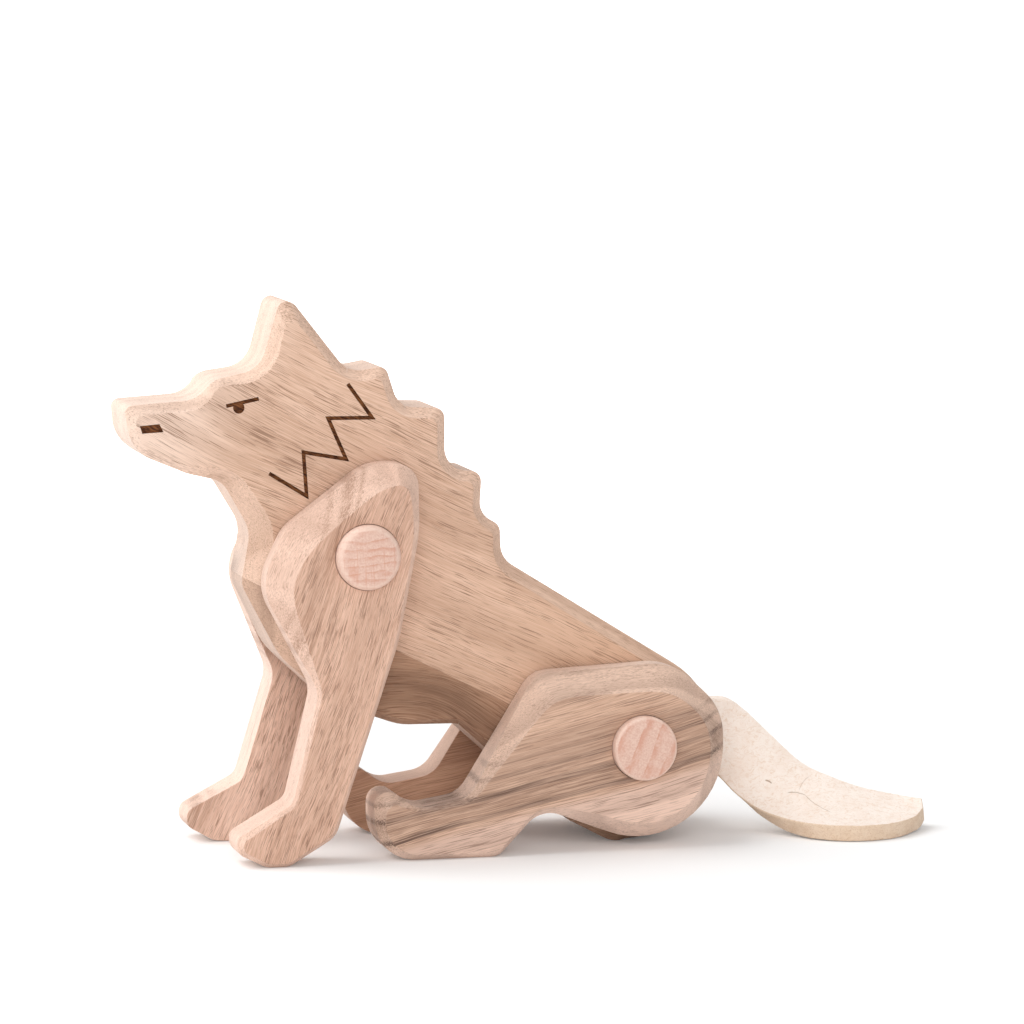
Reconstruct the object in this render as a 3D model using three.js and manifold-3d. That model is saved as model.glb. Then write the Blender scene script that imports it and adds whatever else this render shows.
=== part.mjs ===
// A sitting toy wolf: a body glued up from two walnut boards, four walnut legs that turn on beech pegs, and a
// tail of thick felt. Millimetres, +Z up. The wolf looks along -X, so its left side is at -Y.
import * as THREE from "three";
import { mergeVertices } from "three/addons/utils/BufferGeometryUtils.js";
import Module from "manifold-3d";

// Boards
const BODY_THICKNESS = 20;
const LEG_THICKNESS = 10;
const TURNING_GAP = 0.4; // between a leg and its neighbours, so that it can turn
const GLUE_GAP = 0.2; // left open where two pieces are glued together
const BODY_BEVEL_STEEPNESS = 1; // depth of the body's bevel for each millimetre of its width
const LEG_BEVEL_STEEPNESS = 1.28;

// Pegs. The axes of the front and hind pegs: x from the left shoulder, z from the floor. The right shoulder
// is drilled a little further forward and lower.
const SHOULDER = { x: 0, z: 61 };
const RIGHT_SHOULDER = { x: -1.1, z: 59.9 };
const HIP = { x: 56.3, z: 20.9 };
const PEG_HEAD_DIAMETER = 13;
const PEG_HEAD_LENGTH = 5;
const PEG_PROUD = 2.6; // how far the head stands out of the leg
const PEG_HEAD_GAP = 0.12; // around the head in its recess
const PEG_EDGE_ROUND = 2;
const PEG_CROWN = 0.3;
const PEG_SHANK_DIAMETER = 6;
const PEG_SHANK_CHAMFER = 0.6;
const PEG_END_GAP = 0.5; // from the end of a shank to the middle of the body

// Glue line between the two boards of the body: how far it runs below the hip, and its fall towards the tail.
const GLUE_BELOW_HIP = 4.4;
const GLUE_FALL = THREE.MathUtils.degToRad(26.7);

// Felt tail, glued upright in a slot in the rump. It bends just outside the rump, where it is open by
// BEND_GAP to each side of the bend.
const FELT_THICKNESS = 3.2;
const SLOT_DEPTH = 8;
const BEND_GAP = 0.7;
const TAIL_LOW = 11.4;
const TAIL_HIGH = 27.2;

// How far the right front leg stands forward of the left one.
const RIGHT_FRONT_SWING = THREE.MathUtils.degToRad(3.5);

// Burnt marks
const MARK_DEPTH = 0.5;
const LINE_WIDTH = 0.75;
const NOSE = [[-43.2, 86.9], [-42.7, 85.4], [-38.5, 85.6], [-39.3, 87.2]];
const BROW = [[-26, 90.4], [-19.5, 91.7]];
const PUPIL = { x: -23.5, z: 90, radius: 1.15 };
const RUFF = [[-1.6, 94.2], [3.3, 87.4], [-5.6, 87.5], [-2, 79.3], [-10.6, 80.9], [-10, 72.2], [-17.5, 76.9]];

// Outlines are seen from the wolf's left and run anticlockwise. Each row is one corner: x, z, the radius that
// it is rounded to, and the width of the sanded bevel there.
const BODY_OUTLINE = [
  [-46, 90.7, 1.6, 1.9], // nose
  [-44.9, 82.1, 7.5, 1.1], // chin
  [-33.8, 77.2, 12, 1.5], // jaw
  [-26.3, 75.2, 5, 3.4], // throat
  [-20.5, 65.2, 7, 4.4], // neck
  [-22.5, 54.6, 4, 4.2], // breast
  [-15.4, 40.4, 14, 2.4],
  [-4.9, 30.5, 14, 1.5],
  [9, 25.6, 12, 1.2], // belly
  [20.8, 25.4, 3, 1.2], // flank
  [43.6, 4.8, 16, 1.5],
  [52.6, 0, 7.5, 1.5], // rest on the floor
  [123.2, 0, 19.3, 3.2], // rump
  [30.3, 58.2, 5, 2.5], // withers
  [29.8, 65, 2.2, 2], // lowest tuft of the mane
  [25.7, 67.4, 4, 2.2],
  [26.1, 75.8, 2.1, 2],
  [18.6, 76.6, 4.6, 2.2],
  [18.5, 88.8, 2.1, 2],
  [9.2, 89.2, 4.4, 2.2],
  [6.5, 97.5, 1.9, 2],
  [-1, 96.2, 5.5, 2.2], // nape
  [-14.2, 113.1, 2.1, 2], // ear
  [-18.7, 97.2, 6, 2.6],
  [-28.3, 95.6, 4.6, 1.4], // forehead
  [-31.4, 91.6, 6.2, 2.1], // bridge of the snout
];

// Leg outlines are measured from the leg's own peg.
const FRONT_LEG_OUTLINE = [
  [1.3, 17.8, 11, 4.3], // top of the shoulder
  [-15.3, 5.3, 10, 5],
  [-20.6, -5.7, 10, 4.2], // breast
  [-9.8, -26.5, 6, 0.7], // knee
  [-15.1, -48.5, 3, 0.7], // ankle
  [-26.4, -55.1, 2.2, 1.1], // toe
  [-25.9, -58.2, 2, 1],
  [-20.3, -61, 4, 0.8], // sole
  [-15.8, -61, 4, 0.8],
  [-6.4, -55.5, 5, 0.9], // heel
  [6.6, -16.7, 35, 1],
  [10.6, 3.5, 35, 1.1],
  [11.3, 17.9, 4.6, 2.6],
];
const HIND_LEG_OUTLINE = [
  [-54.7, -4.4, 2.8, 2.1], // toe
  [-54.8, -20.9, 8.5, 1.4],
  [-29.6, -20.9, 3, 1], // heel
  [-20.7, -11.5, 6, 0.9],
  [-9.3, -16.3, 10, 3.1], // haunch
  [17.7, -27.1, 17.5, 3.9],
  [18.2, 6, 12, 4],
  [7.8, 16.2, 12, 4.7],
  [-20.9, 14.9, 5.5, 4.3], // knee
  [-35.8, -9, 6, 0.9], // instep
  [-46.1, -10.7, 6, 0.4],
];

// The upper and lower edges of the felt, measured from where it bends.
const TAIL_UPPER_EDGE = [
  [BEND_GAP, 0, TAIL_HIGH],
  [3.8, 0, 26.7],
  [7.1, 0, 24.6],
  [12.4, -0.2, 19.2],
  [18.5, -1.5, 12.9],
  [25, -3.4, 9.2],
  [31.2, -4.6, 6.8],
  [37.8, -5.6, 5.2],
  [41.2, -7, 4.7],
  [43.2, -8, 4.45],
];
const TAIL_LOWER_EDGE = [
  [BEND_GAP, 0, TAIL_LOW],
  [2.6, -0.2, 10.2],
  [5.5, -2.4, 7],
  [8.9, -6.8, 3.9],
  [12.8, -13, 2.2],
  [17.6, -19.2, 1.75],
  [25.2, -22.5, 1.7],
  [33.2, -20.8, 1.75],
  [39.2, -15.9, 1.95],
  [42.4, -11.6, 2.9],
];
const TAIL_HOLLOW = 1.2; // how far the middle of its width sags below the line from edge to edge
const TAIL_STATIONS = 40;
const TAIL_SPANS = 6;

const TURN_PER_STEP = THREE.MathUtils.degToRad(7);
const SHORTEST_STEP = 0.55; // along a rounded corner
const FACE_ROUND = 1.6; // the least radius at a corner of a flat face
const ROUND_SEGMENTS = 36;
const OVERSHOOT = 5; // how far a cutting tool runs past the wood

const wasm = await Module();
wasm.setup();

function solidOf(geometry) {
  const bare = geometry.clone();
  bare.deleteAttribute("normal");
  bare.deleteAttribute("uv");
  const merged = mergeVertices(bare, 1e-4);
  const vertProperties = merged.attributes.position.array;
  const triVerts = new Uint32Array(merged.index.array);
  return new wasm.Manifold(new wasm.Mesh({ numProp: 3, vertProperties, triVerts }));
}

function geometryOf(solid) {
  const { vertProperties, triVerts } = solid.getMesh();
  const geometry = new THREE.BufferGeometry();
  geometry.setAttribute("position", new THREE.BufferAttribute(vertProperties, 3));
  geometry.setIndex(new THREE.BufferAttribute(triVerts, 1));
  geometry.computeVertexNormals();
  return geometry;
}

function namedMesh(name, geometry, material) {
  const mesh = new THREE.Mesh(geometry, material);
  mesh.name = name;
  return mesh;
}

// Outlines and bevels

function readOutline(rows) {
  return rows.map(([x, z, radius, bevel]) => ({ point: new THREE.Vector2(x, z), radius, bevel }));
}

// The directions before and after a corner, and the turn between them: positive where the outline bulges.
function cornerTurn(corners, i) {
  const count = corners.length;
  const before = corners[i].point.clone().sub(corners[(i + count - 1) % count].point);
  const after = corners[(i + 1) % count].point.clone().sub(corners[i].point);
  return {
    lengthBefore: before.length(),
    lengthAfter: after.length(),
    turn: Math.atan2(before.cross(after), before.dot(after)),
    before: before.normalize(),
    after: after.normalize(),
  };
}

// The outline moved in by each corner's own bevel, so that the bevel widens and narrows along the edge.
function insetCorners(corners) {
  return corners.map((corner, i) => {
    const { before, after, turn } = cornerTurn(corners, i);
    const inward = new THREE.Vector2(-before.y - after.y, before.x + after.x);
    const point = corner.point.clone().addScaledVector(inward, corner.bevel / (1 + before.dot(after)));
    const radius = Math.max(corner.radius - Math.sign(turn) * corner.bevel, FACE_ROUND);
    return { point, radius, bevel: corner.bevel };
  });
}

// The share of each corner's rounding that its two edges have room for.
function roundingRoom(turns, reach) {
  const count = reach.length;
  return reach.map((length, i) => {
    const before = turns[i].lengthBefore / (reach[(i + count - 1) % count] + length);
    const after = turns[i].lengthAfter / (length + reach[(i + 1) % count]);
    return Math.min(1, 0.98 * before, 0.98 * after);
  });
}

function roundCorners(corners, steps) {
  const turns = corners.map((corner, i) => cornerTurn(corners, i));
  const reach = corners.map((corner, i) => corner.radius * Math.tan(Math.abs(turns[i].turn) / 2));
  const room = roundingRoom(turns, reach);
  return corners.flatMap((corner, i) => {
    const { before, turn } = turns[i];
    const start = corner.point.clone().addScaledVector(before, -reach[i] * room[i]);
    const aside = new THREE.Vector2(-before.y, before.x);
    const centre = start.clone().addScaledVector(aside, Math.sign(turn) * corner.radius * room[i]);
    const arc = Array.from({ length: steps[i] + 1 }, (_, k) => (turn * k) / steps[i]);
    return arc.map((angle) => start.clone().rotateAround(centre, angle));
  });
}

// The outer loop of a board, the loop of its flat face, and the bevel's width at each of their points.
function boardLoops(rows) {
  const corners = readOutline(rows);
  const turns = corners.map((corner, i) => Math.abs(cornerTurn(corners, i).turn));
  const inset = insetCorners(corners);
  const steps = turns.map((turn, i) => {
    const arc = turn * Math.min(corners[i].radius, inset[i].radius);
    return Math.max(2, Math.ceil(Math.min(turn / TURN_PER_STEP, arc / SHORTEST_STEP)));
  });
  return {
    edge: roundCorners(corners, steps),
    face: roundCorners(inset, steps),
    bevels: corners.flatMap((corner, i) => Array(steps[i] + 1).fill(corner.bevel)),
  };
}

// Joins rings of equally many points into a closed skin, with triangles over the first and last ring.
function loft(rings, capOf) {
  const count = rings[0].length;
  const faces = [];
  for (let start = 0; start < (rings.length - 1) * count; start += count) {
    for (let i = 0; i < count; i++) {
      const here = start + i;
      const next = start + ((i + 1) % count);
      faces.push(here, here + count, next);
      faces.push(next, here + count, next + count);
    }
  }
  const end = (rings.length - 1) * count;
  capOf(rings[0]).forEach(([a, b, c]) => faces.push(a, b, c));
  capOf(rings.at(-1)).forEach(([a, b, c]) => faces.push(end + a, end + c, end + b));
  return new THREE.BufferGeometry().setFromPoints(rings.flat()).setIndex(faces);
}

function boardCap(ring) {
  const flat = ring.map((point) => new THREE.Vector2(point.x, point.z));
  return THREE.ShapeUtils.triangulateShape(flat, []);
}

function ringAt(loop, heightOf) {
  return loop.map((point, i) => new THREE.Vector3(point.x, heightOf(i), point.y));
}

// Cutting tools

function roundTool(diameter, from, to, at) {
  const tool = new THREE.CylinderGeometry(diameter / 2, diameter / 2, to - from, ROUND_SEGMENTS);
  return solidOf(tool.translate(at.x, (from + to) / 2, at.z));
}

function blockTool(size, centre) {
  return solidOf(new THREE.BoxGeometry(size.x, size.y, size.z).translate(centre.x, centre.y, centre.z));
}

// A line of even width along the given points, as a closed shape with mitred corners.
function strokeShape(rows, width) {
  const points = rows.map(([x, z]) => new THREE.Vector2(x, z));
  const offsets = points.map((point, i) => {
    const before = point.clone().sub(points[Math.max(i - 1, 0)]).normalize();
    const after = points[Math.min(i + 1, points.length - 1)].clone().sub(point).normalize();
    const along = before.clone().add(after);
    const stretch = width / 2 / (before.lengthSq() * after.lengthSq() ? 1 + before.dot(after) : 1);
    return new THREE.Vector2(-along.y, along.x).multiplyScalar(stretch);
  });
  const left = points.map((point, i) => point.clone().add(offsets[i]));
  const right = points.map((point, i) => point.clone().sub(offsets[i]));
  return new THREE.Shape([...left, ...right.reverse()]);
}

// The burnt marks of one side of the head, as tools that reach MARK_DEPTH into the wood.
function markTools(side) {
  const nose = new THREE.Shape(NOSE.map(([x, z]) => new THREE.Vector2(x, z)));
  const pupil = new THREE.Shape().absarc(PUPIL.x, PUPIL.z, PUPIL.radius, 0, 2 * Math.PI);
  const shapes = [nose, pupil, strokeShape(BROW, LINE_WIDTH), strokeShape(RUFF, LINE_WIDTH)];
  const depth = MARK_DEPTH + OVERSHOOT;
  const floor = side * (BODY_THICKNESS / 2 - MARK_DEPTH);
  return shapes.map((shape) => {
    const tool = new THREE.ExtrudeGeometry(shape, { depth, bevelEnabled: false, curveSegments: 8 });
    tool.rotateX(Math.PI / 2);
    tool.translate(0, side > 0 ? floor + depth : floor, 0);
    return solidOf(tool);
  });
}

// The body, in one piece until it is parted along the glue line

const RUMP_END = Math.max(...boardLoops(BODY_OUTLINE).edge.map((point) => point.x));
const TAIL_BEND = RUMP_END + BEND_GAP;

function bodySolid() {
  const half = BODY_THICKNESS / 2;
  const { edge, face, bevels } = boardLoops(BODY_OUTLINE);
  const depthAt = (i) => bevels[i] * BODY_BEVEL_STEEPNESS;
  const rings = [
    ringAt(face, () => -half),
    ringAt(edge, (i) => depthAt(i) - half),
    ringAt(edge, (i) => half - depthAt(i)),
    ringAt(face, () => half),
  ];
  const slotSize = new THREE.Vector3(
    SLOT_DEPTH + OVERSHOOT,
    FELT_THICKNESS + 2 * GLUE_GAP,
    TAIL_HIGH - TAIL_LOW + 2 * GLUE_GAP,
  );
  const slotCentre = new THREE.Vector3(RUMP_END - SLOT_DEPTH + slotSize.x / 2, 0, (TAIL_LOW + TAIL_HIGH) / 2);
  const bore = PEG_SHANK_DIAMETER + 2 * GLUE_GAP;
  return solidOf(loft(rings, boardCap))
    .subtract(roundTool(bore, -half - OVERSHOOT, 0, SHOULDER))
    .subtract(roundTool(bore, 0, half + OVERSHOOT, RIGHT_SHOULDER))
    .subtract(roundTool(bore, -half - OVERSHOOT, half + OVERSHOOT, HIP))
    .subtract(blockTool(slotSize, slotCentre));
}

// A block that covers everything on one side of the glue line: above is 1 for the top and -1 for the belly.
function gluedSide(above) {
  const reach = 400;
  const block = new THREE.BoxGeometry(reach, 2 * BODY_THICKNESS, reach);
  block.translate(0, 0, (above * (reach + GLUE_GAP)) / 2);
  block.rotateY(GLUE_FALL);
  return solidOf(block.translate(HIP.x, 0, HIP.z - GLUE_BELOW_HIP));
}

function mainBoard() {
  const board = bodySolid().intersect(gluedSide(1));
  const marks = [...markTools(-1), ...markTools(1)];
  return marks.reduce((wood, mark) => wood.subtract(mark), board);
}

function bellyBoard() {
  return bodySolid().intersect(gluedSide(-1));
}

// Legs and pegs, in their own frame: the peg is along Y, and y runs outwards from the middle of the body.
const LEG_INNER = BODY_THICKNESS / 2 + TURNING_GAP;
const LEG_OUTER = LEG_INNER + LEG_THICKNESS;
const HEAD_TOP = LEG_OUTER + PEG_PROUD;
const HEAD_SEAT = HEAD_TOP - PEG_HEAD_LENGTH;

function legSolid(rows) {
  const { edge, face, bevels } = boardLoops(rows);
  const rings = [
    ringAt(edge, () => LEG_INNER),
    ringAt(edge, (i) => LEG_OUTER - bevels[i] * LEG_BEVEL_STEEPNESS),
    ringAt(face, () => LEG_OUTER),
  ];
  const peg = new THREE.Vector3();
  const bore = PEG_SHANK_DIAMETER + 2 * TURNING_GAP;
  const recess = PEG_HEAD_DIAMETER + 2 * PEG_HEAD_GAP;
  return solidOf(loft(rings, boardCap))
    .subtract(roundTool(bore, LEG_INNER - OVERSHOOT, LEG_OUTER + OVERSHOOT, peg))
    .subtract(roundTool(recess, HEAD_SEAT - TURNING_GAP, LEG_OUTER + OVERSHOOT, peg));
}

function pegGeometry() {
  const shank = PEG_SHANK_DIAMETER / 2;
  const head = PEG_HEAD_DIAMETER / 2;
  const rim = HEAD_TOP - PEG_CROWN;
  const profile = new THREE.Path()
    .moveTo(0, PEG_END_GAP)
    .lineTo(shank - PEG_SHANK_CHAMFER, PEG_END_GAP)
    .lineTo(shank, PEG_END_GAP + PEG_SHANK_CHAMFER)
    .lineTo(shank, HEAD_SEAT)
    .lineTo(head, HEAD_SEAT)
    .lineTo(head, rim - PEG_EDGE_ROUND)
    .absarc(head - PEG_EDGE_ROUND, rim - PEG_EDGE_ROUND, PEG_EDGE_ROUND, 0, Math.PI / 2)
    .quadraticCurveTo((head - PEG_EDGE_ROUND) / 2, HEAD_TOP, 0, HEAD_TOP);
  return new THREE.LatheGeometry(profile.getPoints(2), ROUND_SEGMENTS);
}

// Felt

// A ribbon between two edge curves: each ring goes up one face of the felt and down the other. The ribbon is
// flat at its two ends and hollow between them.
function ribbon(upperRows, lowerRows, thickness, hollow) {
  const upper = new THREE.CatmullRomCurve3(upperRows.map((row) => new THREE.Vector3(...row)));
  const lower = new THREE.CatmullRomCurve3(lowerRows.map((row) => new THREE.Vector3(...row)));
  const rings = [];
  for (let station = 0; station <= TAIL_STATIONS; station++) {
    const share = station / TAIL_STATIONS;
    const sag = 4 * hollow * Math.sin(Math.PI * share);
    const low = lower.getPoint(share);
    const across = upper.getPoint(share).sub(low);
    const front = [];
    const back = [];
    for (let span = 0; span <= TAIL_SPANS; span++) {
      const part = span / TAIL_SPANS;
      const along = lower.getTangent(share).lerp(upper.getTangent(share), part);
      const plain = along.clone().cross(across).normalize();
      const slope = across.clone().addScaledVector(plain, sag * (2 * part - 1));
      const normal = along.cross(slope).normalize();
      const middle = low.clone().addScaledVector(across, part);
      middle.addScaledVector(plain, sag * part * (part - 1));
      front.push(middle.clone().addScaledVector(normal, thickness / 2));
      back.push(middle.clone().addScaledVector(normal, -thickness / 2));
    }
    rings.push([...front, ...back.reverse()]);
  }
  return loft(rings, ribbonCap);
}

function ribbonCap(ring) {
  const last = ring.length - 1;
  const triangles = [];
  for (let i = 0; i < TAIL_SPANS; i++) {
    triangles.push([i, i + 1, last - i - 1], [i, last - i - 1, last - i]);
  }
  return triangles;
}

function tailRoot() {
  const length = SLOT_DEPTH - GLUE_GAP;
  const root = new THREE.BoxGeometry(length, FELT_THICKNESS, TAIL_HIGH - TAIL_LOW);
  return root.translate(TAIL_BEND - BEND_GAP - length / 2, 0, (TAIL_LOW + TAIL_HIGH) / 2);
}

function freeTail() {
  return ribbon(TAIL_UPPER_EDGE, TAIL_LOWER_EDGE, FELT_THICKNESS, TAIL_HOLLOW).translate(TAIL_BEND, 0, 0);
}

// Materials

function wood(color, roughness) {
  return new THREE.MeshStandardMaterial({ color, roughness, metalness: 0 });
}
const lightWalnut = wood(0xcda989, 0.6);
const darkWalnut = wood(0xa98467, 0.6);
const pinkWalnut = wood(0xc59f84, 0.6);
const greyWalnut = wood(0xb9967a, 0.6);
const beech = wood(0xe3bfa3, 0.55);
const felt = wood(0xf0e3d0, 0.95);

// Assembly

const wolf = new THREE.Group();
wolf.add(namedMesh("main_board", geometryOf(mainBoard()), lightWalnut));
wolf.add(namedMesh("belly_board", geometryOf(bellyBoard()), darkWalnut));
wolf.add(namedMesh("felt_tail_root", tailRoot(), felt));
wolf.add(namedMesh("felt_tail", freeTail(), felt));

// A leg and its peg on one side of the body: side is -1 for the left and 1 for the right.
function addLeg(name, side, axis, swing, legGeometry, material) {
  const place = new THREE.Group();
  place.position.set(axis.x, 0, axis.z);
  place.scale.y = side;
  const leg = namedMesh(`${name}_leg`, legGeometry, material);
  leg.rotation.y = swing;
  place.add(leg, namedMesh(`${name}_peg`, pegGeometry(), beech));
  wolf.add(place);
}

const frontLeg = geometryOf(legSolid(FRONT_LEG_OUTLINE));
const hindLeg = geometryOf(legSolid(HIND_LEG_OUTLINE));
addLeg("front_left", -1, SHOULDER, 0, frontLeg, pinkWalnut);
addLeg("front_right", 1, RIGHT_SHOULDER, RIGHT_FRONT_SWING, frontLeg, pinkWalnut);
addLeg("hind_left", -1, HIP, 0, hindLeg, greyWalnut);
addLeg("hind_right", 1, HIP, 0, hindLeg, greyWalnut);

// The origin is on the floor, under the middle of the whole figure.
const figure = new THREE.Group();
figure.add(wolf);
const middle = new THREE.Box3().setFromObject(figure).getCenter(new THREE.Vector3());
wolf.position.set(-middle.x, -middle.y, 0);

export default figure;
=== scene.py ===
"""Looks of a sitting toy wolf: sanded walnut boards, beech pegs, burnt marks and a felt tail."""
import math

import bmesh
import bpy
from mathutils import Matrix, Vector, noise


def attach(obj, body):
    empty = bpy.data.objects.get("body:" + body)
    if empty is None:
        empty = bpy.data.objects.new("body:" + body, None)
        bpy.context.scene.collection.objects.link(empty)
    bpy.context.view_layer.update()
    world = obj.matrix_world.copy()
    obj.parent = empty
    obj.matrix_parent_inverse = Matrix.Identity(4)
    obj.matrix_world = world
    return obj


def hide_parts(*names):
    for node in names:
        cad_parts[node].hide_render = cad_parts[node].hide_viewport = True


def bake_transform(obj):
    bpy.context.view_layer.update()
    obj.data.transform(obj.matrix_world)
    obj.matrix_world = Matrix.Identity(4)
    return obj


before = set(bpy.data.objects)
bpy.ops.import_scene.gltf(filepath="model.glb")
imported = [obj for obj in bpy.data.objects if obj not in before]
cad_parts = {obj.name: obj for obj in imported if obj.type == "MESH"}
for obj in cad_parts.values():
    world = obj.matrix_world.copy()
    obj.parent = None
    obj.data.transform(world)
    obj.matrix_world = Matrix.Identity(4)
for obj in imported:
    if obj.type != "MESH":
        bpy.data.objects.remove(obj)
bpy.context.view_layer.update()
MM = 0.001
SCENE = bpy.context.scene

# Camera: x from the left shoulder peg, y from the middle of the wolf, z from the floor
CAMERA_PLACE = Vector((-215.89, -967.8, 186.97)) * MM
CAMERA_TURN = math.radians(14.5)  # to the right of +Y
CAMERA_FALL = math.radians(6.87)
LENS_MM = 175.78
SENSOR_MM = 36

# Boards
GLUE_FALL = math.radians(26.7)  # of the glue line, towards the tail
GLUE_GAP = 0.2 * MM
GLUE_SHIFT = 0.47 * GLUE_GAP  # brings each glued board up to the other, all but touching
MARK_DEPTH = 0.5 * MM
EASED = 0.2 * MM  # rounding that sandpaper left on the creases
SANDED = 3 * MM  # spread over which it softened the corners of the legs' faces
SAND_STEP = 0.8 * MM  # longest piece of a softened edge
SANDED_FROM = 2.4 * MM  # width of bevel from which a corner is softened
SANDED_OVER = 3 * MM  # further width over which the softening becomes full


def node_box(name):
    points = [vertex.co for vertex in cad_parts[name].data.vertices]
    low = Vector([min(point[i] for point in points) for i in range(3)])
    high = Vector([max(point[i] for point in points) for i in range(3)])
    return low, high


def peg_axis(name):
    low, high = node_box(name)
    return Vector(((low.x + high.x) / 2, 0, (low.z + high.z) / 2))


def head_radius(name):
    low, high = node_box(name)
    return (high.x - low.x) / 2


LEFT_SHOULDER = peg_axis("front_left_peg")
RIGHT_SHOULDER = peg_axis("front_right_peg")
HIP = peg_axis("hind_left_peg")
BODY_HALF = node_box("main_board")[1].y  # half the thickness of the body
RECESS = 1.15 * head_radius("front_left_peg")  # reaches past the recess of a peg's head


# Shader building blocks


class Shader:
    """A material's node tree, with a short way to add and join nodes."""

    def __init__(self, name):
        self.material = bpy.data.materials.new(name)
        self.material.use_nodes = True
        self.tree = self.material.node_tree
        self.tree.nodes.clear()

    def add(self, kind, inputs=None, **settings):
        node = self.tree.nodes.new(kind)
        for key, value in settings.items():
            setattr(node, key, value)
        for key, value in (inputs or {}).items():
            self.put(node.inputs[key], value)
        return node

    def put(self, socket, value):
        if isinstance(value, bpy.types.NodeSocket):
            self.tree.links.new(value, socket)
        else:
            socket.default_value = value

    def place(self):
        return self.add("ShaderNodeTexCoord").outputs["Object"]

    def sideways(self):
        """How squarely the surface faces the wolf's side: 1 on a board's flat face, 0 on its rim."""
        normal = self.add("ShaderNodeNewGeometry").outputs["Normal"]
        return self.math("ABSOLUTE", self.parts(normal)[1])

    def grain_axes(self, place, rise):
        """Places along the grain, through the board and across the grain, in mm."""
        turn = {"Vector": place, "Rotation": (0, rise, 0), "Scale": (1 / MM, 1 / MM, 1 / MM)}
        return self.parts(self.add("ShaderNodeMapping", turn).outputs[0])

    def math(self, operation, a, b=0.0):
        return self.add("ShaderNodeMath", {0: a, 1: b}, operation=operation).outputs[0]

    def vector(self, x, y, z):
        return self.add("ShaderNodeCombineXYZ", {"X": x, "Y": y, "Z": z}).outputs[0]

    def vectors(self, operation, a, b):
        return self.add("ShaderNodeVectorMath", {0: a, 1: b}, operation=operation).outputs[0]

    def distance(self, a, b=(0, 0, 0)):
        return self.add("ShaderNodeVectorMath", {0: a, 1: b}, operation="DISTANCE").outputs["Value"]

    def scaled(self, axes, factors):
        return self.vector(*(self.math("MULTIPLY", *pair) for pair in zip(axes, factors)))

    def parts(self, vector):
        node = self.add("ShaderNodeSeparateXYZ", {0: vector})
        return node.outputs[0], node.outputs[1], node.outputs[2]

    def noise(self, vector, scale=1.0, detail=2.0, roughness=0.5):
        inputs = {"Vector": vector, "Scale": scale, "Detail": detail, "Roughness": roughness}
        return self.add("ShaderNodeTexNoise", inputs).outputs["Fac"]

    def stretched(self, axes, factors, detail=2.0, roughness=0.5):
        """Noise that is finer along the axes with larger factors."""
        return self.noise(self.scaled(axes, factors), detail=detail, roughness=roughness)

    def ramp(self, value, low, high, out_low=0.0, out_high=1.0):
        inputs = {"Value": value, 1: low, 2: high, 3: out_low, 4: out_high}
        return self.add("ShaderNodeMapRange", inputs, interpolation_type="SMOOTHSTEP").outputs[0]

    def mix(self, share, a, b):
        return self.add("ShaderNodeMix", {0: share, 6: a, 7: b}, data_type="RGBA").outputs[2]

    def bump(self, height, distance, strength):
        inputs = {"Height": height, "Distance": distance, "Strength": strength}
        return self.add("ShaderNodeBump", inputs).outputs[0]

    def surface(self, colour, roughness, specular, normal=None, sheen=0.0):
        inputs = {"Base Color": colour, "Roughness": roughness, "Specular IOR Level": specular}
        bsdf = self.add("ShaderNodeBsdfPrincipled", inputs)
        if normal is not None:
            self.put(bsdf.inputs["Normal"], normal)
        if sheen:
            bsdf.inputs["Sheen Weight"].default_value = sheen
        return self.finished(bsdf)

    def finished(self, node):
        """The material, with the node as its surface."""
        self.add("ShaderNodeOutputMaterial", {0: node.outputs[0]})
        return self.material


def rgb(red, green, blue):
    """A colour given as it looks on a screen, 0 to 255."""
    def linear(value):
        value /= 255
        return value / 12.92 if value <= 0.04045 else ((value + 0.055) / 1.055) ** 2.4
    return (linear(red), linear(green), linear(blue), 1.0)


WHITE = (1, 1, 1, 1)
# Pale tone of sanded bevels and rims, partly a painted highlight
SANDED_AND_LIT_PALE = rgb(255, 240, 230)
PORE_BROWN = rgb(92, 58, 42)
HAIR_BROWN = rgb(168, 140, 118)


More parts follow.
